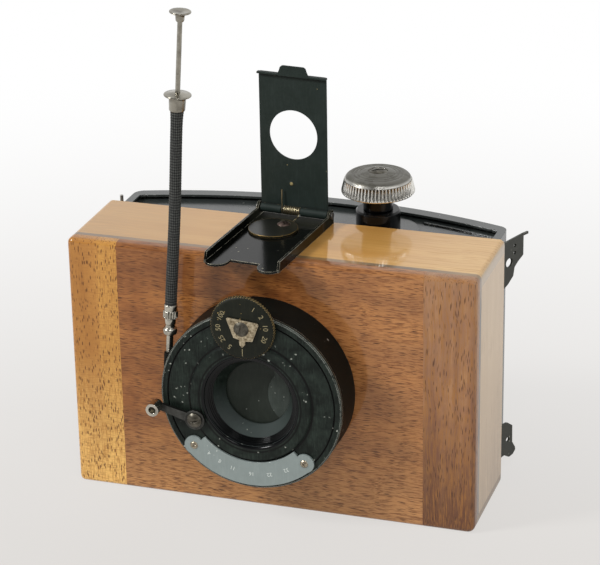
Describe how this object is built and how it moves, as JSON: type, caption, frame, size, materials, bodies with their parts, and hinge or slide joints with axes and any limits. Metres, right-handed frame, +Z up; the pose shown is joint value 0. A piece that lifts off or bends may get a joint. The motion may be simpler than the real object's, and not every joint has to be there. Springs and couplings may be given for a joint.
{
  "type": "pinhole camera",
  "caption": "Wooden box pinhole camera on a bowed roll-film back, with a dial-set shutter, cable release, folding sight and winding knob.",
  "frame": {"origin": "mouth of the tripod bush, in the middle of the underside of the wooden box", "axes": "+Z up, -Y towards the subject (the shutter's side), +X to the right seen from the front"},
  "size_m": [0.1438, 0.0899, 0.174],
  "materials": {
    "mahogany_panel": "satin varnished mahogany, horizontal grain",
    "golden_strip": "satin varnished golden hardwood with dark pores",
    "walnut_strip": "satin varnished walnut",
    "pale_board": "satin varnished pale hardwood",
    "black_enamel": "worn black enamel on pressed steel",
    "dial_black": "black lacquer rubbed to brass at the knurled edge",
    "blade_steel": "dull blackened spring steel",
    "scale_steel": "satin grey etched steel",
    "bright_brass": "dull aged brass",
    "gear_brass": "cut brass",
    "nickel": "satin aged nickel plate",
    "dark_screw": "dark blued screw steel",
    "lever_steel": "worn blackened steel",
    "cable_braid": "black woven cotton braid",
    "spring_wire": "drawn phosphor-bronze wire",
    "inner_black": "matt black lacquered aluminium sheet",
    "spool_wood": "turned beech spool",
    "pin_steel": "turned steel",
    "red_celluloid": "clear red celluloid"
  },
  "bodies": {
    "camera": {"front_panel": "mahogany_panel", "front_strip_left": "golden_strip", "front_strip_right": "walnut_strip", "top_board": "pale_board", "bottom_board": "pale_board", "left_board": "pale_board", "right_board": "pale_board", "tripod_bush": "gear_brass", "shutter_case": "black_enamel", "shutter_front_plate": "black_enamel", "blade_plate": "blade_steel", "dial_pointer": "bright_brass", "dial_screw": "dark_screw", "aperture_scale": "scale_steel", "scale_screws": "dark_screw", "lever_screw": "dark_screw", "cable_socket": "black_enamel", "retaining_ring": "nickel", "pinhole_plate": "bright_brass", "pinhole_retainer": "black_enamel", "cable_ferrule": "nickel", "release_cable": "cable_braid", "finger_collar": "nickel", "sight_tray": "black_enamel", "sight_hinge_pin": "pin_steel", "sight_spring": "spring_wire", "sight_disc": "dial_black", "sight_screw": "dark_screw", "back_top_plate": "black_enamel", "back_bottom_plate": "black_enamel", "back_end_walls": "inner_black", "gear_roof": "inner_black", "film_gate": "inner_black", "winder_bush": "black_enamel", "spool_pins": "pin_steel", "door_hinge_leaf": "black_enamel", "door_hinge_pin": "pin_steel"},
    "left_blade": {"shutter_blade_left": "blade_steel"},
    "right_blade": {"shutter_blade_right": "blade_steel"},
    "dial": {"speed_dial": "dial_black"},
    "lever": {"release_lever": "lever_steel", "release_stud": "nickel"},
    "plunger": {"release_wire": "pin_steel", "plunger_rod": "nickel", "plunger_button": "nickel"},
    "leaf": {"sight_leaf": "black_enamel"},
    "knob": {"winding_knob": "nickel", "knob_screw": "dark_screw", "knob_spindle": "pin_steel", "drive_gear": "gear_brass"},
    "takeup": {"takeup_gear": "gear_brass", "takeup_spool": "spool_wood"},
    "supply": {"supply_spool": "spool_wood"},
    "door": {"back_door": "black_enamel", "pressure_plate": "inner_black", "pressure_spring": "pin_steel", "red_window": "red_celluloid"},
    "cover": {"window_cover": "black_enamel"},
    "upper_catch": {"upper_clip": "black_enamel"},
    "lower_catch": {"lower_clip": "black_enamel"}
  },
  "joints": [
    {"name": "plunger_press", "type": "slide", "parent": "camera", "child": "plunger", "axis": [-0.0698, 0, -0.9976], "range_m": [0, 0.018], "stiffness_N_per_m": 150},
    {"name": "lever_swing", "type": "hinge", "parent": "camera", "child": "lever", "pos_m": [-0.02014, -0.0345, 0.0378], "axis": [0, -1, 0], "range_deg": [0, 18]},
    {"name": "left_blade_swing", "type": "hinge", "parent": "camera", "child": "left_blade", "pos_m": [-0.0044, -0.0255, 0.0648], "axis": [0, 1, 0], "range_deg": [0, 46]},
    {"name": "right_blade_swing", "type": "hinge", "parent": "camera", "child": "right_blade", "pos_m": [0.0046, -0.0255, 0.0648], "axis": [0, -1, 0], "range_deg": [0, 36]},
    {"name": "dial_turn", "type": "hinge", "parent": "camera", "child": "dial", "pos_m": [-0.00268, -0.0355, 0.07277], "axis": [0, -1, 0], "range_deg": [-60, 60]},
    {"name": "sight_fold", "type": "hinge", "parent": "camera", "child": "leaf", "pos_m": [-0.0018, 0.017, 0.0934], "axis": [0.9965, -0.0837, 0], "range_deg": [0, 90], "stiffness_Nm_per_rad": 0.003, "springref_deg": -28.65, "deforming": ["sight_spring"]},
    {"name": "knob_turn", "type": "hinge", "parent": "camera", "child": "knob", "pos_m": [0.0245, 0.0265, 0.09], "axis": [0, 0, 1], "continuous": true},
    {"name": "takeup_turn", "type": "hinge", "parent": "camera", "child": "takeup", "pos_m": [0.0495, 0.0265, 0.045], "axis": [0, 0, 1], "continuous": true},
    {"name": "supply_turn", "type": "hinge", "parent": "camera", "child": "supply", "pos_m": [-0.0495, 0.0265, 0.045], "axis": [0, 0, 1], "continuous": true},
    {"name": "door_swing", "type": "hinge", "parent": "camera", "child": "door", "pos_m": [-0.0678, 0.0255, 0.045], "axis": [0, 0, 1], "range_deg": [0, 100]},
    {"name": "cover_slide", "type": "slide", "parent": "door", "child": "cover", "axis": [0, 0, 1], "range_m": [0, 0.014]},
    {"name": "upper_clip_flex", "type": "hinge", "parent": "camera", "child": "upper_catch", "pos_m": [0.0653, 0.0192, 0.078], "axis": [0, 0, -1], "range_deg": [0, 10], "stiffness_Nm_per_rad": 0.05},
    {"name": "lower_clip_flex", "type": "hinge", "parent": "camera", "child": "lower_catch", "pos_m": [0.0653, 0.0192, 0.012], "axis": [0, 0, -1], "range_deg": [0, 10], "stiffness_Nm_per_rad": 0.05}
  ],
  "couplings": [
    {"joint": "lever_swing", "follows": "plunger_press", "rad_per_m": 17.45},
    {"joint": "left_blade_swing", "follows": "plunger_press", "rad_per_m": 44.6},
    {"joint": "right_blade_swing", "follows": "plunger_press", "rad_per_m": 34.9},
    {"joint": "takeup_turn", "follows": "knob_turn", "ratio": -1}
  ]
}
